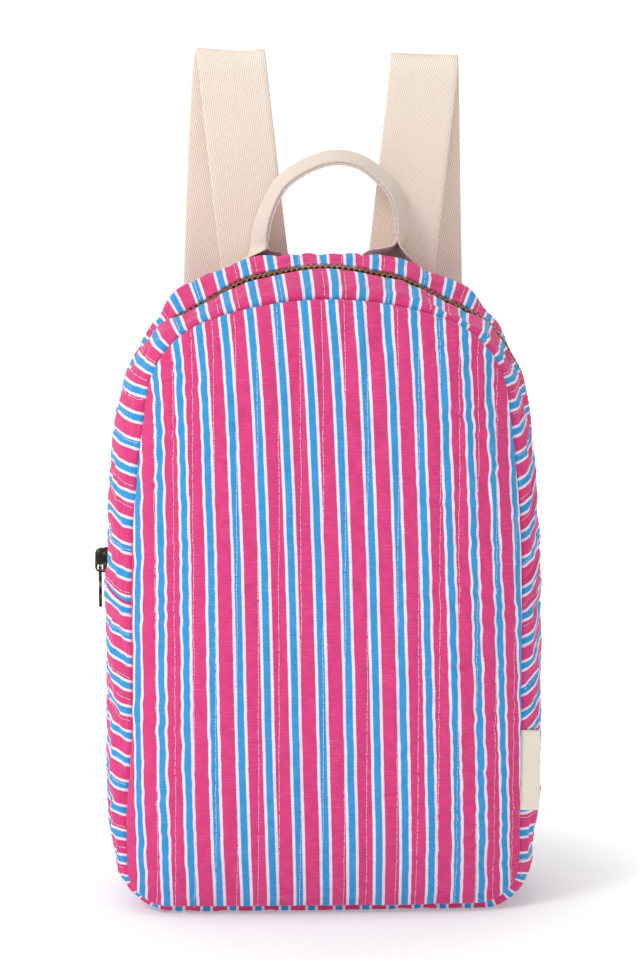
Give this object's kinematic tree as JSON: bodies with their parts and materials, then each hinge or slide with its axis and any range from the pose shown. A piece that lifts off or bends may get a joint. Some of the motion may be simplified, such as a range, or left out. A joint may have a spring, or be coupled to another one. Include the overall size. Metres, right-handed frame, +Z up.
{
  "type": "mini backpack",
  "caption": "Small upright backpack of quilted striped cotton with a domed front, a zipped gusset, webbing shoulder straps, a folded carry handle and a hanging zip pull.",
  "frame": {"origin": "middle of the flat foot, on the floor", "axes": "+Z up, the front panel faces -Y, +X to the right as seen from the front"},
  "size_m": [0.2136, 0.1291, 0.402],
  "materials": {
    "quilted_cotton": "matt cotton with blue and white stripes",
    "zip_tape": "matt woven tape",
    "zip_brass": "aged brass",
    "dark_metal": "dark antique plating",
    "webbing": "natural cotton twill",
    "label_tape": "natural cotton tape"
  },
  "bodies": {
    "bag": {"front_panel": "quilted_cotton", "back_panel": "quilted_cotton", "zip_band_front": "quilted_cotton", "zip_band_back": "quilted_cotton", "foot_gusset": "quilted_cotton", "zip_tape": "zip_tape", "zip_chain": "zip_brass", "zip_slider": "dark_metal", "strap_left": "webbing", "strap_right": "webbing", "carry_handle": "webbing", "side_label": "label_tape"},
    "pull": {"zip_pull": "dark_metal"}
  },
  "joints": [
    {"name": "pull_swing", "type": "hinge", "parent": "bag", "child": "pull", "pos_m": [-0.10656, 0, 0.16078], "axis": [0, 1, 0], "range_deg": [-2.5, 145]}
  ]
}
